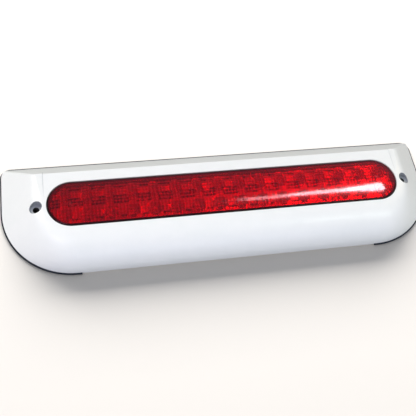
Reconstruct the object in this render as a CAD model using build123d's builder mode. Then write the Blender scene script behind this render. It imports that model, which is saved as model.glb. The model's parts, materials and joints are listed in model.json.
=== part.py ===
from build123d import *
from math import asin, atan2, cos, hypot, radians, sin, sqrt, tan
import os

os.makedirs("parts", exist_ok=True)

# High-mount third brake light: a white moulded housing, screwed flat to a vehicle body,
# with a long red lamp module let into its face.
# Frame: X runs along the lamp, -Y points out of its face and +Z is up. The origin lies on
# the mounting plane (y = 0), midway between the two mounting holes. Lengths are millimetres.
# A "height" below is a distance in front of the mounting plane.

# Housing
housing_width = 385.0
pod_depth = 30.0             # mounting plane to the flat front face
wall = 2.8
face_margin_top = 10.0       # flat face above the lens
slope_rise = 22.0            # rise of the sloping top from the face back to the rim
rim_height = 2.0             # upright rim that the sides and the top rise from
skirt_drop = 30.0            # lens edge to the housing's bottom edge
bottom_corner_radius = 60.0
top_corner_radius = 8.0
end_round_radius = 17.0      # rounding between the face and each end slope
slope_edge_radius = 2.0      # rounding between the face and the top slope
section_count = 12           # outlines that the housing's form is lofted through

# Set-back ends, where the face falls away beside the lens
pad_drop = 1.2               # step at the top edge of the face
pad_foot = 8.0               # height on Z where the step runs out

# Mounting screws
screw_inset = 29.9           # side of the housing to the mounting hole
screw_hole_diameter = 5.5
recess_diameter = 10.5
recess_depth = 7.5           # flat face down to the seat of the screw head
boss_wall = 1.5
boss_tube_diameter = 11.5

# Mounting gasket
gasket_thickness = 1.2
gasket_proud = 1.2           # foam showing past the housing's sides and top
gasket_width = 7.0
drain_margin = 3.0           # foam carried past each bottom corner on to the straight edge

# Lens
lens_height = 40.0
lens_end_clearance = 0.45    # boss to the lens flange
lens_wall = 2.4
lens_proud = 3.0             # crown above the flat face
lens_crown = 2.9             # rise of the crown from edge to middle
lens_edge_radius = 1.2
lens_gap = 0.6               # window clearance, filled by the lens gasket
flange_reach = 2.0           # lens flange past the lens side
lens_flange_thickness = 2.0
lens_gasket_thickness = 1.0
lens_gasket_set_back = 1.2   # collar of the gasket below the flat face

# Lamp tray
tray_seal_thickness = 0.8
tray_flange_thickness = 2.5
tray_wall = 2.0
tray_depth = 17.4            # flange face to the back of the tray
ear_width = 7.0
post_radius = 3.0
post_clearance = 0.5
tray_screw_spacing = 112.0   # along the lamp; three screws above and three below

# Screws
tray_screw_radius = 1.4
tray_screw_length = 5.6
tray_head_radius = 2.8
tray_head_height = 1.8
board_screw_radius = 1.25
board_screw_length = 6.0
board_head_radius = 2.3
board_head_height = 1.6
board_post_radius = 3.0
drive_width = 1.0            # cross slot in each screw head
drive_depth = 1.0

# Light sources
led_columns = 16
led_end_inset = 13.9         # end of the lens to the last column
led_row_offset = 8.0
led_radius = 2.5
led_body_length = 6.1
led_flange_radius = 2.9
led_flange_thickness = 1.0
board_thickness = 1.6
board_clearance = 0.4
board_standoff = 6.9         # tray floor to the board
reflector_thickness = 9.0
cup_mouth_radius = 6.6
cup_throat_radius = 3.2
cup_wall = 1.0
peg_radius = 1.2
peg_column_gaps = (3, 12)    # the pegs stand after these columns
board_screw_gaps = (1, 5, 9, 13)

# Parts on the back of the board
resistor_size = (6.3, 3.2, 0.8)
resistor_count = 8
resistor_pitch = 14.0
diode_size = (4.6, 2.6, 2.2)
suppressor_size = (7.0, 6.0, 2.4)
regulator_size = (6.6, 6.1, 2.3)
regulator_tab = (5.2, 2.4, 0.6)
capacitor_radius = 3.15
capacitor_length = 5.4

# Connector under the tray, its mouth towards +X
connector_x = 64.0           # tail of the power pin
connector_wall = 1.6
connector_depth = 12.0       # socket mouth to its floor
connector_block = 11.0       # solid block behind the socket
connector_clearance = 0.2    # socket to the tray's flange
connector_drop = 17.0        # below the tray
pin_thickness = 0.8
pin_width = 2.5
pin_reach = 9.0              # blade standing in the socket
pin_drop = 6.2               # tray side to the upper blade
pin_pitch = 4.8
tail_lap = 3.0               # tail soldered on the board's back
connector_seal_width = 1.4
connector_seal_thickness = 1.2

# Vent plug in the tray floor
vent_x = -84.0
vent_radius = 3.0
vent_cap_radius = 4.6
vent_cap_thickness = 1.6
vent_slot_width = 1.2

# Stiffening ribs inside the housing
rib_thickness = 1.8
rib_height = 6.0
rib_spacing = 56.0
rib_count = 4
rib_clearance = 1.5          # rib to the lamp tray

# Extra length of the solids that only cut
overrun = 1.0
top_overrun = 5.0

# Worked-out places
half_width = housing_width / 2
lens_radius = lens_height / 2
face_top = lens_radius + face_margin_top
housing_top = face_top + slope_rise
housing_bottom = lens_radius + skirt_drop
roll_radius = pod_depth - rim_height
hole_x = half_width - screw_inset
lens_end_land = recess_diameter / 2 + boss_wall + lens_end_clearance + flange_reach
lens_half_length = hole_x - lens_end_land
straight_length = 2 * (lens_half_length - lens_radius)
face_half_length = lens_half_length + flange_reach
corner_x = half_width - bottom_corner_radius
corner_z = bottom_corner_radius - housing_bottom
led_pitch = 2 * (lens_half_length - led_end_inset) / (led_columns - 1)

inner_face = pod_depth - wall
lens_flange_front = inner_face - lens_gasket_thickness
lens_flange_back = lens_flange_front - lens_flange_thickness
tray_front = lens_flange_back - tray_seal_thickness
tray_flange_back = tray_front - tray_flange_thickness
tray_back = tray_front - tray_depth
tray_floor = tray_back + tray_wall
board_back = tray_floor + board_standoff
board_front = board_back + board_thickness
reflector_front = board_front + reflector_thickness
lens_peak = pod_depth + lens_proud

flange_radius = lens_radius + flange_reach
cavity_radius = lens_radius - lens_wall
tray_radius = cavity_radius + tray_wall
board_radius = cavity_radius - board_clearance
post_z = flange_radius + post_clearance + post_radius
tray_screw_spots = [(x, z) for z in (-post_z, post_z)
                    for x in (-tray_screw_spacing, 0, tray_screw_spacing)]


def at_height(height):
    """Plane parallel to the mounting plane; its extrusions grow towards the front."""
    return Plane.XZ.offset(height)


def column_x(column):
    """Place on X of an LED column, counted from 0; halves fall between two columns."""
    return (column - (led_columns - 1) / 2) * led_pitch


def obround(radius, mode=Mode.ADD):
    """Lens outline, grown or shrunk to an end radius."""
    SlotCenterToCenter(straight_length, 2 * radius, mode=mode)


def obround_body(section):
    """Carry a half section along X and half a turn round each end."""
    with BuildPart() as body:
        extrude(section, amount=straight_length)
        mirror(about=Plane.XY)
        turn = Axis((-straight_length / 2, 0, 0), (0, -1, 0))
        revolve(section, axis=turn, revolution_arc=180)
        mirror(about=Plane.YZ)
    return body.part


def housing_outline(inset, top_radius=0.0):
    """Outline on the mounting plane: upright sides, a straight top and large lower corners."""
    side = half_width - inset
    top = housing_top - inset
    bottom = -housing_bottom + inset
    with BuildSketch(at_height(0)) as outline:
        with Locations((0, (top + bottom) / 2)):
            Rectangle(2 * side, top - bottom)
        corners = outline.vertices().group_by(Axis.Y)
        fillet(corners[0], bottom_corner_radius - inset)
        if top_radius:
            fillet(outline.vertices().group_by(Axis.Y)[-1], top_radius)
    return outline.sketch


def end_slope_angle():
    """Tilt of the end slopes: each runs from the rim's edge and is tangent to the end rounding."""
    run = half_width - face_half_length
    rise = pod_depth - end_round_radius - rim_height
    return atan2(rise, run) + asin(end_round_radius / hypot(rise, run))


def end_inset(height, inset):
    """Distance on X from the housing's side to an end slope or its rounding, at a height."""
    tilt = end_slope_angle()
    radius = end_round_radius - inset
    centre_height = pod_depth - end_round_radius
    run = half_width - face_half_length
    tangent_height = centre_height + radius * cos(tilt)
    if height >= tangent_height:
        return run - sqrt(max(radius ** 2 - (height - centre_height) ** 2, 0))
    return run - radius * sin(tilt) - (tangent_height - height) / tan(tilt)


def form_outline(height, inset):
    """Outline of the housing's form at a height: level top, sloping ends, rolled bottom."""
    roll = roll_radius - inset
    bottom_inset = roll_radius - sqrt(max(roll ** 2 - (height - rim_height) ** 2, 0))
    side = half_width - end_inset(height, inset)
    bottom = -housing_bottom + bottom_inset
    top = housing_top + top_overrun
    # The corners' centres move from the housing's to the lens's as the form closes in.
    closing = bottom_inset / roll_radius
    centre_x = corner_x + closing * (straight_length / 2 - corner_x)
    centre_z = corner_z * (1 - closing)
    with BuildSketch(at_height(height)) as outline:
        with BuildLine():
            Polyline((side, centre_z), (side, top), (-side, top), (-side, centre_z))
            reach = (side - centre_x, centre_z - bottom)
            EllipticalCenterArc((-centre_x, centre_z), *reach, start_angle=180, arc_size=90)
            Line((-centre_x, bottom), (centre_x, bottom))
            EllipticalCenterArc((centre_x, centre_z), *reach, start_angle=270, arc_size=90)
        make_face()
    return outline.sketch


def pod(inset):
    """Closed solid of the housing's outer form, moved in by an inset on every side."""
    slope_depth = pod_depth - rim_height
    lean = hypot(slope_rise, slope_depth)
    slope_top = housing_top - inset * lean / slope_depth
    steps = [radians(90 * step / (section_count - 1)) for step in range(section_count)]
    heights = [rim_height + (roll_radius - inset) * sin(step) for step in steps]
    outlines = [form_outline(height, inset) for height in heights]
    with BuildPart() as form:
        loft(outlines)
        extrude(outlines[0], amount=-rim_height)
        with BuildSketch(Plane.YZ.offset(-half_width)):
            with BuildLine():
                Polyline(
                    (0, slope_top),
                    (-rim_height, slope_top),
                    (-pod_depth - overrun, slope_top - slope_rise * (1 + overrun / slope_depth)),
                    (-pod_depth - overrun, housing_top + 2 * top_overrun),
                    (0, housing_top + 2 * top_overrun),
                    close=True,
                )
            make_face()
        extrude(amount=housing_width, mode=Mode.SUBTRACT)
    return form.part


# Shape of the foam that shows past the rim; the housing is rebated for it.
with BuildPart() as mounting_gasket:
    extrude(housing_outline(-gasket_proud, top_corner_radius + gasket_proud), amount=gasket_thickness)
    extrude(
        housing_outline(gasket_width - gasket_proud, top_corner_radius),
        amount=gasket_thickness,
        mode=Mode.SUBTRACT,
    )
    drain_half = half_width - bottom_corner_radius - drain_margin
    with BuildSketch(at_height(0)):
        with Locations((0, -housing_bottom)):
            Rectangle(2 * drain_half, housing_bottom)
    extrude(amount=gasket_thickness, mode=Mode.SUBTRACT)

# Set-back of one end: a shallow wedge off the face, deepest at its top edge.
with BuildPart() as end_wedge:
    with BuildSketch(Plane.YZ.offset(face_half_length)):
        with BuildLine():
            Polyline(
                (-pod_depth, pad_foot),
                (-pod_depth + pad_drop, face_top),
                (-pod_depth + pad_drop, housing_top),
                (-pod_depth - overrun, housing_top),
                (-pod_depth - overrun, pad_foot),
                close=True,
            )
        make_face()
    extrude(amount=half_width - face_half_length)
    mirror(about=Plane.YZ)

# What the rounding of the two top corners takes away.
with BuildPart() as corner_cutters:
    with BuildSketch(at_height(-overrun)):
        with Locations((-half_width, housing_top), (half_width, housing_top)):
            Rectangle(2 * top_corner_radius, 2 * top_corner_radius)
        arc_x, arc_z = half_width - top_corner_radius, housing_top - top_corner_radius
        with Locations((-arc_x, arc_z), (arc_x, arc_z)):
            Circle(top_corner_radius, mode=Mode.SUBTRACT)
    extrude(amount=pod_depth + 2 * overrun)

# Mounting bosses: a cup for each screw head and a tube that bears on the vehicle body.
recess_floor = pod_depth - recess_depth
cup_back = recess_floor - wall
upright = (Align.CENTER, Align.CENTER, Align.MIN)
with BuildPart() as bosses:
    for side in (-1, 1):
        with Locations(at_height(cup_back)):
            with Locations((side * hole_x, 0)):
                Cylinder(recess_diameter / 2 + boss_wall, pod_depth - cup_back, align=upright)
        with Locations(at_height(0)):
            with Locations((side * hole_x, 0)):
                Cylinder(boss_tube_diameter / 2, cup_back + wall / 2, align=upright)
    add(pod(0), mode=Mode.INTERSECT)

# Ribs under the lamp, following the rolled bottom.
with BuildPart() as ribs:
    rib_top = -(post_z + post_radius + rib_clearance)
    add(pod(wall / 2))
    add(pod(wall + rib_height), mode=Mode.SUBTRACT)
    with BuildSketch(at_height(gasket_thickness)):
        for rib in range(rib_count):
            with Locations(((rib - (rib_count - 1) / 2) * rib_spacing, rib_top)):
                Rectangle(rib_thickness, housing_bottom, align=(Align.CENTER, Align.MAX))
    extrude(amount=pod_depth, mode=Mode.INTERSECT)

with BuildPart() as housing:
    add(pod(0))
    slope_line = (
        housing.edges()
        .filter_by(Axis.X)
        .filter_by_position(Axis.Z, face_top - overrun, face_top + overrun)
        .filter_by_position(Axis.Y, -pod_depth - overrun, -pod_depth + overrun)
    )
    fillet(slope_line, slope_edge_radius)
    add(end_wedge.part, mode=Mode.SUBTRACT)
    add(corner_cutters.part, mode=Mode.SUBTRACT)
    # Open back.
    add(pod(wall), mode=Mode.SUBTRACT)
    add(ribs.part)
    # Window for the lens.
    with BuildSketch(at_height(inner_face - wall)):
        obround(lens_radius + lens_gap)
    extrude(amount=3 * wall, mode=Mode.SUBTRACT)
    # Posts for the tray screws.
    with BuildSketch(at_height(tray_front)):
        with Locations(*tray_screw_spots):
            Circle(post_radius)
    extrude(amount=inner_face - tray_front + wall / 2)
    with BuildSketch(at_height(tray_front)):
        with Locations(*tray_screw_spots):
            Circle(tray_screw_radius)
    extrude(amount=tray_screw_length - tray_flange_thickness, mode=Mode.SUBTRACT)
    # Bosses, then the recesses and the screw holes through them.
    add(bosses.part)
    for side in (-1, 1):
        with Locations(at_height(recess_floor)):
            with Locations((side * hole_x, 0)):
                Cylinder(recess_diameter / 2, recess_depth + overrun, align=upright, mode=Mode.SUBTRACT)
        with Locations(at_height(0)):
            with Locations((side * hole_x, 0)):
                Cylinder(screw_hole_diameter / 2, pod_depth, align=upright, mode=Mode.SUBTRACT)
    add(mounting_gasket.part, mode=Mode.SUBTRACT)

# Half sections of the lamp stand on this plane: its x is +Z and its y is the height.
section_plane = Plane(origin=(-straight_length / 2, 0, 0), x_dir=(0, 0, 1), z_dir=(1, 0, 0))

with BuildSketch(section_plane) as lens_section:
    inner_crown = lens_crown * (cavity_radius / lens_radius) ** 2
    with BuildLine():
        TangentArc((0, lens_peak), (lens_radius, lens_peak - lens_crown), tangent=(1, 0))
        Polyline(
            (lens_radius, lens_peak - lens_crown),
            (lens_radius, lens_flange_front),
            (flange_radius, lens_flange_front),
            (flange_radius, lens_flange_back),
            (cavity_radius, lens_flange_back),
            (cavity_radius, lens_peak - lens_wall - inner_crown),
        )
        TangentArc(
            (0, lens_peak - lens_wall),
            (cavity_radius, lens_peak - lens_wall - inner_crown),
            tangent=(1, 0),
        )
        Line((0, lens_peak - lens_wall), (0, lens_peak))
    make_face()
    shoulder = lens_section.vertices().sort_by_distance((lens_radius, lens_peak - lens_crown))
    fillet(shoulder[0], lens_edge_radius)

with BuildPart() as lens:
    add(obround_body(lens_section.sketch))

with BuildPart() as lens_gasket:
    with BuildSketch(at_height(lens_flange_front)):
        obround(flange_radius)
        obround(lens_radius, mode=Mode.SUBTRACT)
    extrude(amount=lens_gasket_thickness)
    with BuildSketch(at_height(inner_face)):
        obround(lens_radius + lens_gap)
        obround(lens_radius, mode=Mode.SUBTRACT)
    extrude(amount=wall - lens_gasket_set_back)

with BuildPart() as tray_seal:
    with BuildSketch(at_height(tray_front)):
        obround(flange_radius)
        obround(cavity_radius, mode=Mode.SUBTRACT)
    extrude(amount=tray_seal_thickness)

# Terminal pins: a blade along X in the socket and a tail up the back of the board.
connector_axis = board_back - pin_thickness / 2
connector_thickness = 2 * (tray_flange_back - connector_clearance - connector_axis)
block_start = connector_x - connector_block + connector_wall
socket_floor = block_start + connector_block


def terminal_pin(tail_x, blade_z):
    """L-shaped strip lying against the plane of the board's back."""
    with BuildPart() as pin:
        with BuildSketch(at_height(board_back - pin_thickness)):
            with Locations((tail_x, blade_z - pin_width / 2)):
                Rectangle(
                    pin_width,
                    -board_radius + tail_lap - blade_z + pin_width / 2,
                    align=(Align.CENTER, Align.MIN),
                )
            with Locations((tail_x - pin_width / 2, blade_z)):
                Rectangle(
                    socket_floor + pin_reach - tail_x + pin_width / 2,
                    pin_width,
                    align=(Align.MIN, Align.CENTER),
                )
        extrude(amount=pin_thickness)
    return pin.part


with BuildPart() as power_pin:
    add(terminal_pin(connector_x, -tray_radius - pin_drop))

with BuildPart() as ground_pin:
    add(terminal_pin(connector_x - 2 * pin_width, -tray_radius - pin_drop - pin_pitch))

with BuildPart() as connector_socket:
    socket_length = connector_block + connector_depth
    socket_low = connector_axis - connector_thickness / 2
    with BuildSketch(at_height(socket_low)):
        with Locations((block_start, -tray_radius)):
            Rectangle(socket_length, connector_drop, align=(Align.MIN, Align.MAX))
    extrude(amount=connector_thickness)
    fillet(connector_socket.edges().filter_by(Axis.X).group_by(Axis.Z)[0], connector_wall)
    with BuildSketch(at_height(socket_low + connector_wall)):
        with Locations((socket_floor, -tray_radius - connector_wall)):
            Rectangle(
                connector_depth,
                connector_drop - 2 * connector_wall,
                align=(Align.MIN, Align.MAX),
            )
    extrude(amount=connector_thickness - 2 * connector_wall, mode=Mode.SUBTRACT)
    add(power_pin.part, mode=Mode.SUBTRACT)
    add(ground_pin.part, mode=Mode.SUBTRACT)

with BuildPart() as connector_seal:
    seal_drop = connector_drop - 2 * connector_wall
    seal_span = connector_thickness - 2 * connector_wall
    with BuildSketch(Plane.YZ.offset(socket_floor)):
        with Locations((-connector_axis, -tray_radius - connector_drop / 2)):
            Rectangle(seal_span, seal_drop)
            Rectangle(
                seal_span - 2 * connector_seal_width,
                seal_drop - 2 * connector_seal_width,
                mode=Mode.SUBTRACT,
            )
    extrude(amount=connector_seal_thickness)

board_screw_spots = [(column_x(gap + 0.5), 0) for gap in board_screw_gaps]
peg_spots = [(column_x(gap - 0.5), 0) for gap in peg_column_gaps]

with BuildPart() as lamp_tray:
    with BuildSketch(at_height(tray_flange_back)):
        obround(flange_radius)
        for spot_x, spot_z in tray_screw_spots:
            with Locations((spot_x, spot_z)):
                Circle(ear_width / 2)
            with Locations((spot_x, spot_z / 2)):
                Rectangle(ear_width, abs(spot_z))
    extrude(amount=tray_flange_thickness)
    with BuildSketch(at_height(tray_back)):
        obround(tray_radius)
    extrude(amount=tray_flange_back - tray_back)
    fillet(lamp_tray.edges().group_by(Axis.Y)[-1], tray_wall)
    with BuildSketch(at_height(tray_floor)):
        obround(cavity_radius)
    extrude(amount=tray_front - tray_floor, mode=Mode.SUBTRACT)
    with BuildSketch(at_height(tray_floor)):
        with Locations(*board_screw_spots):
            Circle(board_post_radius)
    extrude(amount=board_standoff)
    with BuildSketch(at_height(board_back - board_screw_length + board_thickness)):
        with Locations(*board_screw_spots):
            Circle(board_screw_radius)
    extrude(amount=board_screw_length, mode=Mode.SUBTRACT)
    with BuildSketch(at_height(tray_flange_back)):
        with Locations(*tray_screw_spots):
            Circle(tray_screw_radius)
    extrude(amount=tray_flange_thickness, mode=Mode.SUBTRACT)
    with BuildSketch(at_height(tray_back)):
        with Locations((vent_x, 0)):
            Circle(vent_radius)
    extrude(amount=tray_wall, mode=Mode.SUBTRACT)
    add(power_pin.part, mode=Mode.SUBTRACT)
    add(ground_pin.part, mode=Mode.SUBTRACT)

with BuildPart() as vent_plug:
    with BuildSketch(at_height(tray_back)):
        with Locations((vent_x, 0)):
            Circle(vent_radius)
    extrude(amount=tray_wall)
    with BuildSketch(at_height(tray_back - vent_cap_thickness)):
        with Locations((vent_x, 0)):
            Circle(vent_cap_radius)
    extrude(amount=vent_cap_thickness)
    fillet(vent_plug.edges().group_by(Axis.Y)[-1], vent_cap_thickness / 3)
    with BuildSketch(at_height(tray_back - vent_cap_thickness)):
        with Locations((vent_x, 0)):
            Rectangle(3 * vent_radius, vent_slot_width, mode=Mode.ADD)
    extrude(amount=vent_cap_thickness / 2, mode=Mode.SUBTRACT)


def screws(spots, seat, forward, shank_radius, length, head_radius, head_height):
    """Pan-head screws; their heads bear on the seat and their shanks run away from it."""
    side = 1 if forward else -1
    with BuildPart() as group:
        with BuildSketch(at_height(seat)):
            with Locations(*spots):
                Circle(shank_radius)
        extrude(amount=side * length)
        with BuildSketch(at_height(seat)):
            with Locations(*spots):
                Circle(head_radius)
        extrude(amount=-side * head_height)
        rims = group.edges().group_by(Axis.Y)[-1 if forward else 0]
        fillet(rims, head_height / 2)
        with BuildSketch(at_height(seat - side * head_height)):
            with Locations(*spots):
                Rectangle(1.2 * head_radius, drive_width)
                Rectangle(drive_width, 1.2 * head_radius)
        extrude(amount=side * drive_depth, mode=Mode.SUBTRACT)
    return group.part


with BuildPart() as tray_screws:
    add(screws(tray_screw_spots, tray_flange_back, True, tray_screw_radius,
               tray_screw_length, tray_head_radius, tray_head_height))

with BuildPart() as board_screws:
    add(screws(board_screw_spots, board_front, False, board_screw_radius,
               board_screw_length, board_head_radius, board_head_height))

with BuildPart() as led_board:
    with BuildSketch(at_height(board_back)):
        obround(board_radius)
        with Locations(*board_screw_spots):
            Circle(board_screw_radius, mode=Mode.SUBTRACT)
        with Locations(*peg_spots):
            Circle(peg_radius, mode=Mode.SUBTRACT)
    extrude(amount=board_thickness)

with BuildPart() as reflector:
    with BuildSketch(at_height(board_front)):
        obround(board_radius)
    extrude(amount=reflector_thickness)
    with BuildSketch(at_height(board_front)):
        obround(board_radius - cup_wall)
    extrude(amount=reflector_thickness - cup_wall, mode=Mode.SUBTRACT)
    with BuildSketch(at_height(board_front)):
        with Locations(*peg_spots):
            Circle(peg_radius + cup_wall)
    extrude(amount=reflector_thickness)
    for grow, cup_mode in ((cup_wall, Mode.ADD), (0, Mode.SUBTRACT)):
        with Locations(at_height(board_front)):
            with GridLocations(led_pitch, 2 * led_row_offset, led_columns, 2):
                Cone(
                    cup_throat_radius + grow,
                    cup_mouth_radius + grow,
                    reflector_thickness,
                    align=(Align.CENTER, Align.CENTER, Align.MIN),
                    mode=cup_mode,
                )
    with BuildSketch(at_height(board_front)):
        obround(board_radius)
    extrude(amount=reflector_thickness, mode=Mode.INTERSECT)
    with BuildSketch(at_height(board_back)):
        with Locations(*peg_spots):
            Circle(peg_radius)
    extrude(amount=board_thickness)


def led_row(row_z):
    """One row of domed lamps standing on the board, one at each cup."""
    spots = [(column_x(column), row_z) for column in range(led_columns)]
    with BuildPart() as row:
        with BuildSketch(at_height(board_front)):
            with Locations(*spots):
                Circle(led_flange_radius)
        extrude(amount=led_flange_thickness)
        with BuildSketch(at_height(board_front)):
            with Locations(*spots):
                Circle(led_radius)
        extrude(amount=led_body_length + led_radius)
        domes = row.edges().group_by(Axis.Y)[0]
        fillet(domes, led_radius * 0.96)
    return row.part


with BuildPart() as leds_upper_row:
    add(led_row(led_row_offset))

with BuildPart() as leds_lower_row:
    add(led_row(-led_row_offset))


def surface_part(spots, size):
    """Flat components soldered to the back of the board."""
    with BuildPart() as group:
        with BuildSketch(at_height(board_back - size[2])):
            with Locations(*spots):
                Rectangle(size[0], size[1])
        extrude(amount=size[2])
    return group.part


resistor_z = led_row_offset
supply_z = -led_row_offset

with BuildPart() as dropping_resistors:
    first = -(resistor_count - 1) / 2
    add(surface_part([((first + i) * resistor_pitch, resistor_z) for i in range(resistor_count)],
                     resistor_size))

with BuildPart() as polarity_diode:
    add(surface_part([(connector_x - resistor_pitch, supply_z)], diode_size))

with BuildPart() as surge_suppressor:
    add(surface_part([(connector_x - 2 * resistor_pitch, supply_z)], suppressor_size))

with BuildPart() as current_regulator:
    regulator_x = connector_x - 4 * resistor_pitch
    add(surface_part([(regulator_x, supply_z)], regulator_size))
    tab_z = supply_z + (regulator_size[1] + regulator_tab[1]) / 2
    add(surface_part([(regulator_x, tab_z)], regulator_tab))

with BuildPart() as filter_capacitor:
    with BuildSketch(at_height(board_back - capacitor_length)):
        with Locations((connector_x - 3 * resistor_pitch, supply_z)):
            Circle(capacitor_radius)
    extrude(amount=capacitor_length)
    fillet(filter_capacitor.edges().group_by(Axis.Y)[-1], capacitor_radius / 6)

pieces = {
    "housing": housing,
    "mounting_gasket": mounting_gasket,
    "lens": lens,
    "lens_gasket": lens_gasket,
    "tray_seal": tray_seal,
    "lamp_tray": lamp_tray,
    "tray_screws": tray_screws,
    "vent_plug": vent_plug,
    "reflector": reflector,
    "leds_upper_row": leds_upper_row,
    "leds_lower_row": leds_lower_row,
    "led_board": led_board,
    "board_screws": board_screws,
    "dropping_resistors": dropping_resistors,
    "polarity_diode": polarity_diode,
    "surge_suppressor": surge_suppressor,
    "current_regulator": current_regulator,
    "filter_capacitor": filter_capacitor,
    "connector_socket": connector_socket,
    "connector_seal": connector_seal,
    "power_pin": power_pin,
    "ground_pin": ground_pin,
}
for name, piece in pieces.items():
    piece.part.label = name
    export_step(piece.part, f"parts/{name}.step")
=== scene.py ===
"""Third brake light: the looks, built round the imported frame. Metres, +Z up, front towards -Y."""

import json
import math

import bpy
import numpy as np
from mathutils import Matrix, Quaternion, Vector


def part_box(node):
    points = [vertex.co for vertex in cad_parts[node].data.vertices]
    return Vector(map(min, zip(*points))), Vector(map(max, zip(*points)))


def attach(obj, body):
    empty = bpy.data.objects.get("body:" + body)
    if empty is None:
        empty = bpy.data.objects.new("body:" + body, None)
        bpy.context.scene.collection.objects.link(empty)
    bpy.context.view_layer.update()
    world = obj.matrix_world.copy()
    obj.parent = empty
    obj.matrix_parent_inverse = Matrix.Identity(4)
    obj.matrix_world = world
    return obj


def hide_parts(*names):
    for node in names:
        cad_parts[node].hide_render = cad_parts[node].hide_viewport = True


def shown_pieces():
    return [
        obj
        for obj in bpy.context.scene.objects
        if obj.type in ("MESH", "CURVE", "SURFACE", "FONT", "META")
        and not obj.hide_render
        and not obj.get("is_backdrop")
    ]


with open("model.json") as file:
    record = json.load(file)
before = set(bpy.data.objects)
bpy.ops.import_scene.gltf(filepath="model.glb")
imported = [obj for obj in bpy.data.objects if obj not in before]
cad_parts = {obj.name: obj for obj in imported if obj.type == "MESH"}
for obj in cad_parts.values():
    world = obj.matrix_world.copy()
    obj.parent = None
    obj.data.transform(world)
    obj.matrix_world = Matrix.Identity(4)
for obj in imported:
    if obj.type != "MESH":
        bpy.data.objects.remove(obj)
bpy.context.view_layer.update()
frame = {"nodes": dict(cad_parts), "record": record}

MM = 0.001
nodes = frame["nodes"]
mounts = {mount["name"]: mount for mount in frame["record"]["mounts"]}

# ---- sizes read from the frame -------------------------------------------------------
housing_low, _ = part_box("housing")
lens_low, lens_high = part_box("lens")
board_low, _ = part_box("led_board")
reflector_low, reflector_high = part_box("reflector")
upper_leds_low, upper_leds_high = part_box("leds_upper_row")

face_y = housing_low.y
hole_x = mounts["mounting_screws"]["dims"]["spacing_x_mm"] * MM / 2
hole_radius = mounts["mounting_screws"]["dims"]["hole_r_mm"] * MM

# LED grid, as the CAD spaces it
led_columns = 16
led_flange_width = 5.8 * MM
row_height = (upper_leds_low.z + upper_leds_high.z) / 2
column_pitch = (upper_leds_high.x - upper_leds_low.x - led_flange_width) / (led_columns - 1)

# Round a mounting screw: the recess, and a little beyond its wall
recess_radius = 5.3 * MM

# Lens: half the straight part of its spine, its wall, the radius of its crown and its rim, painted dark for
# the black gasket and the shade in its gap
lens_straight = lens_high.x - lens_high.z
lens_wall = 2.4 * MM
crown_radius = 70.4 * MM
painted_radius = 18.7 * MM
painted_edge = 0.5 * MM

# Reflector bowls, and the facets on the land between them
cup_mouth = 6.6 * MM
cup_throat = 3.2 * MM
cup_lip = 0.4 * MM
facet_pitch = 2.8 * MM
facet_height = 0.5 * MM


# ---- shader helpers ------------------------------------------------------------------
def add_node(tree, kind, inputs=None, **settings):
    """One shader node, with its settings and the values or links of its inputs."""
    node = tree.nodes.new(kind)
    for name, value in settings.items():
        setattr(node, name, value)
    for key, value in (inputs or {}).items():
        if isinstance(value, bpy.types.NodeSocket):
            tree.links.new(value, node.inputs[key])
        else:
            node.inputs[key].default_value = value
    return node


def maths(tree, operation, *values, clamp=False):
    """The result of one sum on sockets and numbers."""
    node = add_node(tree, "ShaderNodeMath", dict(enumerate(values)), operation=operation, use_clamp=clamp)
    return node.outputs[0]


def product(tree, *values):
    """All the values multiplied together."""
    total = values[0]
    for value in values[1:]:
        total = maths(tree, "MULTIPLY", total, value)
    return total


def within(tree, value, middle, reach):
    """1 where a value lies within reach of the middle, else 0."""
    return maths(tree, "COMPARE", value, middle, reach)


def spread(tree, value, low, high, to_low=0.0, to_high=1.0):
    """A value carried from one range to another, and held inside it."""
    ends = {"Value": value, "From Min": low, "From Max": high, "To Min": to_low, "To Max": to_high}
    return add_node(tree, "ShaderNodeMapRange", ends).outputs[0]


def noise(tree, place, scale, detail, **inputs):
    """Cloudy noise over a place, about 0.5 in the middle."""
    return add_node(tree, "ShaderNodeTexNoise",
                    {"Vector": place, "Scale": scale, "Detail": detail, **inputs}).outputs[0]


def object_place(tree):
    """The place of a point on the object, in metres."""
    return add_node(tree, "ShaderNodeTexCoord").outputs["Object"]


def blend_colours(tree, share, first, second):
    """The first colour, turning into the second as share goes from 0 to 1."""
    mix = add_node(tree, "ShaderNodeMix", {0: share}, data_type="RGBA")
    for socket, colour in ((mix.inputs[6], first), (mix.inputs[7], second)):
        if isinstance(colour, bpy.types.NodeSocket):
            tree.links.new(colour, socket)
        else:
            socket.default_value = (*colour, 1)
    return mix.outputs[2]


def new_group(name, inputs, outputs):
    """An empty shader group with float, colour or vector sockets, and its two end nodes."""
    group = bpy.data.node_groups.new(name, "ShaderNodeTree")
    for socket_name, value in inputs.items():
        socket = group.interface.new_socket(socket_name, in_out="INPUT", socket_type="NodeSocketFloat")
        socket.default_value = value
    for socket_name, kind in outputs.items():
        group.interface.new_socket(socket_name, in_out="OUTPUT", socket_type="NodeSocket" + kind)
    return group, group.nodes.new("NodeGroupInput"), group.nodes.new("NodeGroupOutput")


def use_group(tree, group, **values):
    """The group placed in a material, with its inputs set."""
    node = tree.nodes.new("ShaderNodeGroup")
    node.node_tree = group
    for name, value in values.items():
        node.inputs[name.replace("_", " ").capitalize()].default_value = value
    return node


def new_material(name, **values):
    """A material with one Principled shader, whose constants are set on its own sockets."""
    material = bpy.data.materials.new(name)
    material.use_nodes = True
    tree = material.node_tree
    tree.nodes.clear()
    shader = add_node(tree, "ShaderNodeBsdfPrincipled")
    for socket, value in values.items():
        shader.inputs[socket.replace("_", " ")].default_value = value
    output = add_node(tree, "ShaderNodeOutputMaterial")
    tree.links.new(shader.outputs["BSDF"], output.inputs["Surface"])
    return material, tree, shader


def object_axes(tree):
    """The X, Y and Z of a point on the object, in metres."""
    return add_node(tree, "ShaderNodeSeparateXYZ", {0: object_place(tree)}).outputs


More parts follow.
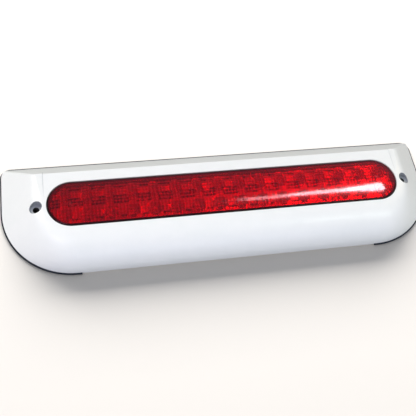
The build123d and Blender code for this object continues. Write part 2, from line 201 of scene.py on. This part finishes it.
# ---- shared surface groups -----------------------------------------------------------
def make_grain_group():
    """Fine grain and broad patches of a moulded or cast surface, and the relief of the grain."""
    patch_fineness = 0.012
    group, start, end = new_group("moulded_grain", {"Fineness": 4000.0, "Depth": 0.00001},
                                  {"Grain": "Float", "Patches": "Float", "Relief": "Vector"})
    place = object_place(group)
    fineness = start.outputs["Fineness"]
    grain = noise(group, place, fineness, 3.0)
    patches = noise(group, place, product(group, fineness, patch_fineness), 4.0, Roughness=0.6)
    relief = add_node(group, "ShaderNodeBump", {"Height": grain, "Distance": start.outputs["Depth"]})
    group.links.new(grain, end.inputs["Grain"])
    group.links.new(patches, end.inputs["Patches"])
    group.links.new(relief.outputs[0], end.inputs["Relief"])
    return group


def make_wear_group():
    """Dust that settles on what faces up, and hair scratches from wiping along the lamp."""
    speckle_fineness, cloud_fineness = 900.0, 35.0
    wiping_tilt = (0.0, 0.15, 0.0)
    hair_fineness = (30.0, 900.0, 2600.0)
    group, start, end = new_group("dust_and_scratches", {"Dust amount": 0.5},
                                  {"Dust": "Float", "Scratches": "Float"})
    coordinates = add_node(group, "ShaderNodeTexCoord")
    place = coordinates.outputs["Object"]
    upward = add_node(group, "ShaderNodeSeparateXYZ", {0: coordinates.outputs["Normal"]}).outputs["Z"]
    speckle = spread(group, noise(group, place, speckle_fineness, 5.0), 0.45, 0.75)
    cloud = spread(group, noise(group, place, cloud_fineness, 3.0), 0.3, 0.7)
    dust = product(group, spread(group, upward, -0.2, 0.9), speckle, cloud, start.outputs["Dust amount"])
    wiped = add_node(group, "ShaderNodeMapping",
                     {"Vector": place, "Rotation": wiping_tilt, "Scale": hair_fineness}).outputs[0]
    scratches = spread(group, noise(group, wiped, 1.0, 1.0), 0.72, 0.8)
    group.links.new(dust, end.inputs["Dust"])
    group.links.new(scratches, end.inputs["Scratches"])
    return group


grain_group = make_grain_group()
wear_group = make_wear_group()


# ---- materials -----------------------------------------------------------------------
def moulded_plastic(name, colour, shade, roughness, fineness, depth, dust=0.3, coat=0.0):
    """Injection-moulded plastic: grained, a little uneven in colour and gloss, dusty on top."""
    dust_colour = (0.52, 0.50, 0.46)
    scratch_dulling, dust_dulling = 0.18, 0.4
    material, tree, shader = new_material(name, Coat_Weight=coat, Coat_Roughness=0.12)
    grain = use_group(tree, grain_group, fineness=fineness, depth=depth)
    wear = use_group(tree, wear_group, dust_amount=dust)
    body = blend_colours(tree, spread(tree, grain.outputs["Patches"], 0.35, 0.7), colour, shade)
    dusty = blend_colours(tree, wear.outputs["Dust"], body, dust_colour)
    gloss = spread(tree, grain.outputs["Patches"], 0.3, 0.7, roughness - 0.05, roughness + 0.06)
    scuffed = maths(tree, "ADD", gloss, product(tree, wear.outputs["Scratches"], scratch_dulling))
    dulled = maths(tree, "ADD", scuffed, product(tree, wear.outputs["Dust"], dust_dulling), clamp=True)
    tree.links.new(dusty, shader.inputs["Base Color"])
    tree.links.new(dulled, shader.inputs["Roughness"])
    tree.links.new(grain.outputs["Relief"], shader.inputs["Normal"])
    return material


def housing_material():
    """White moulded housing: the plastic, painted shade in the step where each end sets back and in the screw
    recesses.

    The shade line runs up the front of the lamp at |x| = crease_shade_x, and fades in between two heights.
    The painted shade fills the circle of recess_radius round each hole's axis and deepens towards its top."""
    crease_shade_x = lens_high.x + 0.2 * MM
    crease_shade_half_width = 0.35 * MM
    crease_shade_foot, crease_shade_full = 6 * MM, 20 * MM
    crease_shade_depth = 6.5 * MM
    crease_shade_strength = 0.45
    # Colours of painted shade: the line in the step at each end, and the screw recesses
    crease_shade_grey, recess_shade_grey = (0.42, 0.43, 0.46), (0.20, 0.22, 0.26)
    shade_height = 4 * MM
    material = moulded_plastic("white_housing_plastic", (0.87, 0.87, 0.88), (0.845, 0.85, 0.86), 0.34,
                               5200.0, 0.000008, dust=0.12, coat=0.03)
    tree = material.node_tree
    shader = next(node for node in tree.nodes if node.type == "BSDF_PRINCIPLED")
    plain = shader.inputs["Base Color"].links[0].from_socket
    axes = object_axes(tree)
    outward = maths(tree, "ABSOLUTE", axes["X"])
    # Painted shade: a grey line for the shadow in the step where each end of the front sets back
    line = product(tree, within(tree, outward, crease_shade_x, crease_shade_half_width),
                   spread(tree, axes["Z"], crease_shade_foot, crease_shade_full, 0.0, crease_shade_strength),
                   maths(tree, "LESS_THAN", axes["Y"], face_y + crease_shade_depth))
    from_hole = maths(tree, "SUBTRACT", outward, hole_x)
    reach = maths(tree, "SQRT", maths(tree, "ADD", product(tree, from_hole, from_hole),
                                      product(tree, axes["Z"], axes["Z"])))
    # Painted shade inside each screw recess, darker towards its top
    recess = product(tree, maths(tree, "LESS_THAN", reach, recess_radius),
                     spread(tree, axes["Z"], -shade_height, shade_height, 0.35, 0.85))
    lined = blend_colours(tree, line, plain, crease_shade_grey)
    tree.links.new(blend_colours(tree, recess, lined, recess_shade_grey), shader.inputs["Base Color"])
    return material


def foam_material():
    """Closed-cell foam: small round cells with thin walls, matt, the hollows of the cells painted darker as
    shade.
    """
    cell_fineness = 1900.0
    cell_relief = 0.12 * MM
    hollow_shade_black, wall_black = (0.004, 0.005, 0.009), (0.03, 0.034, 0.05)
    material, tree, shader = new_material("black_foam", Roughness=0.92, Specular_IOR_Level=0.2)
    cells = add_node(tree, "ShaderNodeTexVoronoi",
                     {"Vector": object_place(tree), "Scale": cell_fineness}).outputs["Distance"]
    walls = spread(tree, cells, 0.15, 0.75)
    # Painted shade: the cell hollows darker than their walls
    tree.links.new(blend_colours(tree, walls, hollow_shade_black, wall_black), shader.inputs["Base Color"])
    relief = add_node(tree, "ShaderNodeBump", {"Height": walls, "Distance": cell_relief, "Strength": 0.8})
    tree.links.new(relief.outputs[0], shader.inputs["Normal"])
    return material


def rubber_material(name, colour, shade):
    """Moulded rubber with a faint bloom."""
    material, tree, shader = new_material(name, Roughness=0.6, Specular_IOR_Level=0.3)
    grain = use_group(tree, grain_group, fineness=2600.0, depth=0.00002)
    bloom = blend_colours(tree, spread(tree, grain.outputs["Patches"], 0.4, 0.75), colour, shade)
    tree.links.new(bloom, shader.inputs["Base Color"])
    tree.links.new(grain.outputs["Relief"], shader.inputs["Normal"])
    return material


def plated_metal(name, colour, shade, roughness, line_fineness):
    """Plated or drawn metal: brushed along the axis of least fineness, with dull patches."""
    material, tree, shader = new_material(name, Metallic=1.0)
    drawn = add_node(tree, "ShaderNodeMapping", {"Vector": object_place(tree), "Scale": line_fineness})
    lines = noise(tree, drawn.outputs[0], 1.0, 3.0)
    grain = use_group(tree, grain_group, fineness=3000.0, depth=0.000004)
    tone = spread(tree, product(tree, lines, grain.outputs["Patches"]), 0.12, 0.4)
    gloss = spread(tree, lines, 0.3, 0.7, roughness - 0.08, roughness + 0.1)
    tree.links.new(blend_colours(tree, tone, shade, colour), shader.inputs["Base Color"])
    tree.links.new(gloss, shader.inputs["Roughness"])
    tree.links.new(grain.outputs["Relief"], shader.inputs["Normal"])
    return material


def reflector_material():
    """Satin metallised plastic, with a very fine ripple."""
    bright, dull = (0.96, 0.95, 0.95), (0.84, 0.82, 0.82)
    material, tree, shader = new_material("bright_reflector", Metallic=1.0)
    grain = use_group(tree, grain_group, fineness=1200.0, depth=0.000012)
    tone = blend_colours(tree, spread(tree, grain.outputs["Patches"], 0.3, 0.7), bright, dull)
    gloss = spread(tree, grain.outputs["Grain"], 0.3, 0.7, 0.40, 0.52)
    tree.links.new(tone, shader.inputs["Base Color"])
    tree.links.new(gloss, shader.inputs["Roughness"])
    tree.links.new(grain.outputs["Relief"], shader.inputs["Normal"])
    return material


def led_material():
    """Red tinted resin of an LED's dome, deeper in tone near its flange."""
    dome_red, flange_red = (0.95, 0.42, 0.42), (0.70, 0.22, 0.22)
    material, tree, shader = new_material("led_resin", Roughness=0.12, IOR=1.53, Transmission_Weight=0.25)
    depth = spread(tree, object_axes(tree)["Y"], upper_leds_low.y, upper_leds_high.y)
    tree.links.new(blend_colours(tree, depth, dome_red, flange_red), shader.inputs["Base Color"])
    return material


def board_material():
    """Circuit board: green mask over copper tracks, with tinned pads.

    Tracks run along X every 4 mm; diamond pads sit on them every 9.2 mm."""
    half_pad_spacing, half_track_spacing = 4.6 * MM, 2.0 * MM
    track_half_width, pad_reach = 0.45 * MM, 1.3 * MM
    track_relief = 0.04 * MM
    mask_green, track_green, tin = (0.012, 0.09, 0.03), (0.03, 0.17, 0.05), (0.62, 0.62, 0.6)
    material, tree, shader = new_material("board_laminate", Roughness=0.35)
    axes = object_axes(tree)
    along = maths(tree, "PINGPONG", axes["X"], half_pad_spacing)
    across = maths(tree, "PINGPONG", axes["Z"], half_track_spacing)
    track = maths(tree, "LESS_THAN", across, track_half_width)
    pad = maths(tree, "LESS_THAN", maths(tree, "ADD", along, product(tree, across, 2.0)), pad_reach)
    masked = blend_colours(tree, track, mask_green, track_green)
    tree.links.new(blend_colours(tree, pad, masked, tin), shader.inputs["Base Color"])
    tree.links.new(pad, shader.inputs["Metallic"])
    relief = add_node(tree, "ShaderNodeBump", {"Height": track, "Distance": track_relief})
    tree.links.new(relief.outputs[0], shader.inputs["Normal"])
    return material


def lens_material():
    """Clear red lens: polished outside, small pillow optics inside, and light shines through it red.

    The inside is what lies behind the middle of the wall, crowned by r^2 / (2 crown_radius) at a distance r
    from the lens's spine. The pillows follow cos(2 pi x / pitch) + cos(2 pi z / pitch). Halfway between two
    LED columns the ones on the midline, and short rows of them near the top and the bottom, are painted dark:
    painted shade for the shadowed gaps seen through the pillows. The rim outside painted_radius is painted
    dark too, partly for the black gasket round the lens and partly as painted shade in its gap."""
    pillow_pitch, pillow_depth = 2.9 * MM, 0.15 * MM
    patch_fineness = 260.0
    deep_red, pale_red = (0.32, 0.0002, 0.010), (0.55, 0.0005, 0.023)
    # Black of the painted shade in the dot rows, and of the dark rim at the gasket and its gap
    gap_and_shade_black, shine_red = (0.002, 0.0, 0.0002), (0.9, 0.02, 0.04, 1)
    # Height of each row of pillows painted dark as shade, half its width on Z and half its length on X, in
    # millimetres.
    shade_dot_rows = ((0.0, 3.9, 6.2), (11.6, 1.3, 5.2), (14.8, 1.5, 6.8), (-15.2, 1.4, 3.6))
    material, tree, shader = new_material("red_lens", Roughness=0.10, IOR=1.49, Transmission_Weight=0.88,
                                          Specular_IOR_Level=0.05, Specular_Tint=(0.45, 0.06, 0.10, 1),
                                          Coat_Weight=0.3, Coat_Roughness=0.11)
    axes = object_axes(tree)
    outward = maths(tree, "ABSOLUTE", axes["X"])
    past_end = maths(tree, "MAXIMUM", maths(tree, "SUBTRACT", outward, lens_straight), 0.0)
    spine_gap = maths(tree, "ADD", product(tree, past_end, past_end), product(tree, axes["Z"], axes["Z"]))
    crown = maths(tree, "DIVIDE", spine_gap, 2 * crown_radius)
    mid_wall = maths(tree, "ADD", crown, lens_low.y + lens_wall / 2)
    inside = maths(tree, "GREATER_THAN", axes["Y"], mid_wall)

    waves = [maths(tree, "COSINE", product(tree, axes[axis], 2 * math.pi / pillow_pitch)) for axis in "XZ"]
    pillows = maths(tree, "ADD", *waves)
    relief = add_node(tree, "ShaderNodeBump", {"Height": product(tree, pillows, inside),
                                               "Distance": pillow_depth})
    tree.links.new(relief.outputs[0], shader.inputs["Normal"])

    along = maths(tree, "PINGPONG", axes["X"], column_pitch / 2)
    in_rows = 0.0
    for height, half_band, half_row in shade_dot_rows:
        in_row = product(tree, within(tree, along, 0.0, half_row * MM),
                         within(tree, axes["Z"], height * MM, half_band * MM))
        in_rows = maths(tree, "MAXIMUM", in_rows, in_row)
    patchy = spread(tree, noise(tree, object_place(tree), patch_fineness, 2.0), 0.25, 0.5)
    # Painted shade: dark dots in the listed rows, for the shadowed gaps seen through the pillows
    dark = product(tree, in_rows, spread(tree, pillows, -1.2, 0.4), patchy, inside)
    clear_red = blend_colours(tree, spread(tree, pillows, -2.0, 2.0), deep_red, pale_red)
    # Painted dark rim: the black gasket round the lens and the painted shade in its gap
    painted_rim = spread(tree, spine_gap, painted_radius ** 2, (painted_radius + painted_edge) ** 2)
    tree.links.new(blend_colours(tree, maths(tree, "MAXIMUM", dark, painted_rim), clear_red, gap_and_shade_black),
                   shader.inputs["Base Color"])

    tinted = add_node(tree, "ShaderNodeBsdfTransparent", {"Color": shine_red})
    path = add_node(tree, "ShaderNodeLightPath")
    mix = add_node(tree, "ShaderNodeMixShader", {0: path.outputs["Is Shadow Ray"], 1: shader.outputs["BSDF"],
                                                2: tinted.outputs["BSDF"]})
    tree.links.new(mix.outputs["Shader"], tree.nodes["Material Output"].inputs["Surface"])
    return material


white_plastic = housing_material()
tray_black = moulded_plastic("tray_plastic", (0.022, 0.022, 0.024), (0.034, 0.034, 0.036), 0.5,
                             2600.0, 0.00003)
connector_black = moulded_plastic("connector_plastic", (0.03, 0.03, 0.033), (0.045, 0.045, 0.048), 0.42,
                                  3200.0, 0.00002)
vent_grey = moulded_plastic("vent_plastic", (0.30, 0.31, 0.33), (0.25, 0.26, 0.28), 0.55,
                            3000.0, 0.00002)
package_black = moulded_plastic("component_black", (0.02, 0.02, 0.022), (0.03, 0.03, 0.032), 0.6,
                                6000.0, 0.00001, dust=0.0)
foam_black = foam_material()
rubber_black = rubber_material("black_rubber", (0.012, 0.012, 0.013), (0.03, 0.03, 0.032))
seal_orange = rubber_material("orange_seal", (0.62, 0.16, 0.03), (0.50, 0.12, 0.025))
screw_steel = plated_metal("screw_steel", (0.66, 0.66, 0.68), (0.42, 0.42, 0.44), 0.34,
                           (1500.0, 1500.0, 4000.0))
can_aluminium = plated_metal("capacitor_can", (0.80, 0.80, 0.82), (0.62, 0.62, 0.64), 0.28,
                             (300.0, 4000.0, 300.0))
terminal_brass = plated_metal("terminal_metal", (0.78, 0.72, 0.58), (0.60, 0.52, 0.36), 0.3,
                              (200.0, 3000.0, 3000.0))
bright_metal = reflector_material()
led_red = led_material()
board_green = board_material()
lens_red = lens_material()

finishes = {
    "housing": white_plastic, "mounting_gasket": foam_black, "lens": lens_red, "lens_gasket": rubber_black,
    "tray_seal": rubber_black, "lamp_tray": tray_black, "tray_screws": screw_steel, "vent_plug": vent_grey,
    "reflector": bright_metal, "leds_upper_row": led_red, "leds_lower_row": led_red, "led_board": board_green,
    "board_screws": screw_steel, "dropping_resistors": package_black, "polarity_diode": package_black,
    "surge_suppressor": package_black, "current_regulator": package_black, "filter_capacitor": can_aluminium,
    "connector_socket": connector_black, "connector_seal": seal_orange, "power_pin": terminal_brass,
    "ground_pin": terminal_brass,
}
for node_name, material in finishes.items():
    mesh = nodes[node_name].data
    mesh.materials.clear()
    mesh.materials.append(material)


# ---- new pieces ----------------------------------------------------------------------
def add_piece(name, vertices, faces, material):
    """A smooth-shaded mesh made from points and faces, riding on the lamp's only body."""
    mesh = bpy.data.meshes.new(name)
    mesh.from_pydata(vertices, [], faces)
    mesh.polygons.foreach_set("use_smooth", np.full(len(mesh.polygons), True))
    mesh.materials.append(material)
    mesh.update()
    piece = bpy.data.objects.new(name, mesh)
    bpy.context.scene.collection.objects.link(piece)
    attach(piece, "root")
    return piece


def obround_grid(half_length, radius, columns, rows):
    """Grid over a long shape with round ends.

    z = radius sin(a) and x = s (half_length - radius + radius cos(a)), with a from -90 to 90 degrees over the
    rows and s from -1 to 1 over the columns."""
    angle = np.linspace(-math.pi / 2, math.pi / 2, rows)[None, :]
    share = np.linspace(-1, 1, columns)[:, None]
    x = share * (half_length - radius + radius * np.cos(angle))
    z = np.broadcast_to(radius * np.sin(angle), x.shape)
    return x, z


def slab(x, z, front, back):
    """Points and faces of a closed body: a front over a grid, sides down its rim and a flat back.

    The front's points are (x, front, z). Each point of the rim has a foot at y = back."""
    columns, rows = x.shape
    index = np.arange(columns * rows).reshape(columns, rows)
    quads = np.stack([index[:-1, :-1], index[1:, :-1], index[1:, 1:], index[:-1, 1:]], axis=-1).reshape(-1, 4)
    rim = np.concatenate([index[:, 0], index[-1, 1:], index[-2::-1, -1], index[0, -2:0:-1]])
    points = np.stack([x, front, z], axis=-1).reshape(-1, 3)
    foot = points[rim].copy()
    foot[:, 1] = back
    low = np.arange(len(rim)) + columns * rows
    sides = np.stack([rim, low, np.roll(low, -1), np.roll(rim, -1)], axis=-1)
    faces = [*quads.tolist(), *sides.tolist(), low[::-1].tolist()]
    return np.concatenate([points, foot]), faces


def reflector_piece():
    """Bright plate with a bowl round each LED and small pyramids on the land between the bowls.

    With r the distance to the nearest LED's axis, the surface lies plate (1 - (r^2 - t^2) / (m^2 - t^2))
    behind the front between the throat radius t and the mouth radius m, and the whole plate inside t. Past
    the lip the pyramids fall by facet_height max(|u|, |v|), with u and v from -1 to 1 over a facet_pitch."""
    grid_columns, grid_rows = 620, 90
    board_gap = 0.1 * MM
    floor_y = board_low.y - board_gap
    plate = floor_y - reflector_low.y
    x, z = obround_grid(reflector_high.x, reflector_high.z, grid_columns, grid_rows)
    column = np.clip(np.round(x / column_pitch - 0.5), -led_columns / 2, led_columns / 2 - 1) + 0.5
    reach = np.hypot(x - column * column_pitch, np.abs(z) - row_height)
    bowl = 1 - (reach ** 2 - cup_throat ** 2) / (cup_mouth ** 2 - cup_throat ** 2)
    facet = np.maximum(np.abs(x / facet_pitch % 1 * 2 - 1), np.abs((z / facet_pitch + 0.5) % 1 * 2 - 1))
    land = np.where(reach > cup_mouth + cup_lip, facet * facet_height, 0)
    depth = np.where(reach < cup_mouth, plate * np.clip(bowl, 0, 1), land)
    points, faces = slab(x, z, reflector_low.y + depth, floor_y)
    piece = add_piece("reflector_bowls", points, faces, bright_metal)
    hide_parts("reflector")


reflector_piece()


def turned_piece(name, profile, centre_x, material, corners=48):
    """A closed profile turned round an axis parallel to Y.

    The profile lists (radius, y), and point k of its ring lies at x = centre_x + radius cos(2 pi k / corners)
    and z = radius sin(2 pi k / corners)."""
    radius, y = np.array(profile).T[:, :, None]
    turn = np.linspace(0, 2 * math.pi, corners, endpoint=False)[None, :]
    x = centre_x + radius * np.cos(turn)
    z = radius * np.sin(turn)
    points = np.stack([x, np.broadcast_to(y, x.shape), z], axis=-1).reshape(-1, 3)
    index = np.arange(len(profile) * corners).reshape(len(profile), corners)
    onward, inward = np.roll(index, -1, axis=1), np.roll(index, -1, axis=0)
    quads = np.stack([index, onward, np.roll(inward, -1, axis=1), inward], axis=-1).reshape(-1, 4)
    return add_piece(name, points, quads.tolist(), material)


# Black sleeve that seals each screw hole
sleeve_wall = 0.35 * MM
sleeve_clearance = 0.01 * MM
sleeve_back, sleeve_front = -0.1 * MM, -22.4 * MM
sleeve_bore, sleeve_skin = hole_radius - sleeve_wall, hole_radius - sleeve_clearance
sleeve_profile = [(sleeve_bore, sleeve_back), (sleeve_bore, sleeve_front),
                  (sleeve_skin, sleeve_front), (sleeve_skin, sleeve_back)]
for side, centre in (("left", -hole_x), ("right", hole_x)):
    turned_piece(f"screw_hole_sleeve_{side}", sleeve_profile, centre, rubber_black)


# ---- stage ---------------------------------------------------------------------------
def stage_sheet(name, corners, material):
    """A flat sheet of the studio with any number of corners."""
    mesh = bpy.data.meshes.new(name)
    mesh.from_pydata(corners, [], [tuple(range(len(corners)))])
    mesh.materials.append(material)
    sheet = bpy.data.objects.new(name, mesh)
    bpy.context.scene.collection.objects.link(sheet)
    sheet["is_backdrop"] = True
    return sheet


def one_sided(name, shine_back=1.0, **values):
    """Studio surface that only exists for what looks at its front: its back and shadow rays pass.

    shine_back is the share of its light that it gives on to the lamp, whose matt parts get a little more."""
    matt_share = 0.7
    material, tree, shader = new_material(name, **values)
    geometry = add_node(tree, "ShaderNodeNewGeometry")
    path = add_node(tree, "ShaderNodeLightPath")
    colour = tuple(shader.inputs["Base Color"].default_value)[:3]
    dimmed = tuple(shine_back * channel for channel in colour)
    seen_from_lamp = maths(tree, "MAXIMUM", product(tree, path.outputs["Is Diffuse Ray"], matt_share),
                           path.outputs["Is Glossy Ray"])
    tree.links.new(blend_colours(tree, seen_from_lamp, colour, dimmed), shader.inputs["Base Color"])
    either = maths(tree, "MAXIMUM", geometry.outputs["Backfacing"], path.outputs["Is Shadow Ray"])
    clear = add_node(tree, "ShaderNodeBsdfTransparent")
    mix = add_node(tree, "ShaderNodeMixShader",
                   {0: either, 1: shader.outputs["BSDF"], 2: clear.outputs["BSDF"]})
    tree.links.new(mix.outputs["Shader"], tree.nodes["Material Output"].inputs["Surface"])
    return material


wall_y = 0.6 * MM
# Place of the painted hole shade discs, just in front of the wall
hole_shade_y = 0.5 * MM
wall_span = 4.0
floor_z = -0.55
wall_paint = one_sided("studio_wall", shine_back=0.15, Base_Color=(0.62, 0.58, 0.535, 1), Roughness=0.9)
wall_corners = [(-wall_span, wall_y, floor_z), (wall_span, wall_y, floor_z),
                (wall_span, wall_y, wall_span), (-wall_span, wall_y, wall_span)]
wall_sheet = stage_sheet("backdrop", wall_corners, wall_paint)
floor_paint = new_material("studio_floor", Base_Color=(0.9, 0.9, 0.9, 1), Roughness=0.9)[0]
floor_corners = [(-wall_span, -wall_span, floor_z), (wall_span, -wall_span, floor_z),
                 (wall_span, wall_span, floor_z), (-wall_span, wall_span, floor_z)]
stage_sheet("floor", floor_corners, floor_paint)

# Black discs on the wall behind the two screw holes: painted shade for the dark inside of the holes drilled
# in the vehicle's body
hole_shade_paint = one_sided("drilled_hole", Base_Color=(0.004, 0.004, 0.004, 1), Roughness=1.0,
                         Specular_IOR_Level=0.0)
hole_corners = 32
turns = [2 * math.pi * corner / hole_corners for corner in range(hole_corners)]
hole_shade_discs = []
for side, centre in (("left", -hole_x), ("right", hole_x)):
    edge = [(centre + hole_radius * math.cos(turn), hole_shade_y, hole_radius * math.sin(turn))
            for turn in turns]
    hole_shade_discs.append(stage_sheet(f"drilled_hole_{side}", edge, hole_shade_paint))


# ---- lights and camera ---------------------------------------------------------------
def direction(azimuth, elevation):
    """Unit vector towards a place in front of the lamp; azimuth grows to the right, both in degrees."""
    side, rise = math.radians(azimuth), math.radians(elevation)
    return Vector((math.sin(side) * math.cos(rise), -math.cos(side) * math.cos(rise), math.sin(rise)))


def softbox(name, azimuth, elevation, distance, size, power, colour=(1, 1, 1), shape="RECTANGLE"):
    """A flat light at a distance from the middle of the lamp, facing it; its size is width and height."""
    data = bpy.data.lights.new(name, "AREA")
    data.shape = shape
    data.size, data.size_y = size
    data.energy = power
    data.color = colour
    lamp = bpy.data.objects.new(name, data)
    bpy.context.scene.collection.objects.link(lamp)
    away = direction(azimuth, elevation)
    lamp.location = away * distance
    lamp.rotation_mode = "QUATERNION"
    lamp.rotation_quaternion = away.to_track_quat("Z", "Y")
    return lamp


def shine_only_on(lamp, name, lit):
    """Keeps a light's shine to some objects; everything still casts its shadow."""
    receivers = bpy.data.collections.new(name)
    for thing in lit:
        receivers.objects.link(thing)
    lamp.light_linking.receiver_collection = receivers


lamp_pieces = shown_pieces()
wall_pieces = [wall_sheet, *hole_shade_discs]
lens = nodes["lens"]
bowls = next(piece for piece in lamp_pieces if piece.name == "reflector_bowls")
all_but_lens = [piece for piece in lamp_pieces if piece is not lens]
all_but_bowls = [piece for piece in lamp_pieces if piece is not bowls]
outer_pieces = [piece for piece in all_but_bowls if piece is not lens]

far, near = 1.3, 1.2
wide = (0.6, 0.5)
studio_lights = (
    (softbox("key_softbox", -50, 24, far, wide, 6.3, colour=(1.0, 0.97, 0.72)), outer_pieces),
    (softbox("right_softbox", 55, 20, far, wide, 3.1, colour=(1.0, 0.80, 0.45)), all_but_lens),
    (softbox("low_left_softbox", -35, -25, far, wide, 7.5, colour=(0.91, 0.82, 1.0)), all_but_bowls),
    (softbox("low_right_softbox", 35, -30, far, wide, 9.5, colour=(0.86, 1.0, 0.88)), lamp_pieces),
    (softbox("under_softbox", 0, -70, 0.5, (0.5, 0.2), 0.32, colour=(0.74, 0.84, 1.0)), lamp_pieces),
    (softbox("lens_strip_faint", 18, 8.5, near, (0.16, 0.09), 0.8), [lens]),
    (softbox("lens_strip", 25, 9.5, near, (0.20, 0.11), 2.2, shape="ELLIPSE"), [lens]),
    (softbox("lens_glow", 33.5, 9.5, near, (0.26, 0.24), 9.0, shape="ELLIPSE"), [lens]),
    (softbox("bowls_softbox", 55, 0, 0.45, (0.15, 0.1), 7.0), [bowls]),
    (softbox("wall_softbox", 0, 60, 2.6, (4.2, 1.4), 235), wall_pieces),
)
for lamp, lit in studio_lights:
    shine_only_on(lamp, lamp.name + "_receivers", lit)
softbox("back_fill", 162, 21, 1.5, (1.2, 1.2), 16)

world = bpy.data.worlds.new("studio_world")
world.use_nodes = True
air = world.node_tree.nodes["Background"]
air.inputs["Color"].default_value = (0.47, 0.52, 0.60, 1)
air.inputs["Strength"].default_value = 1.0
bpy.context.scene.world = world

camera_data = bpy.data.cameras.new("camera")
camera_data.lens = 56.25
camera_data.sensor_width = 36.0
camera_data.clip_start = 0.01
camera = bpy.data.objects.new("camera", camera_data)
bpy.context.scene.collection.objects.link(camera)
camera_azimuth, camera_elevation = -11.9, -25.83
camera_roll = math.radians(-10.07)
camera_aim = Vector((-0.02154, face_y, -0.01474))
camera_distance = 0.54775
back = direction(camera_azimuth, camera_elevation)
camera.location = camera_aim + back * camera_distance
camera.rotation_mode = "QUATERNION"
camera.rotation_quaternion = (-back).to_track_quat("-Z", "Y") @ Quaternion((0, 0, 1), camera_roll)
bpy.context.scene.camera = camera

bpy.context.scene.view_settings.view_transform = "Standard"
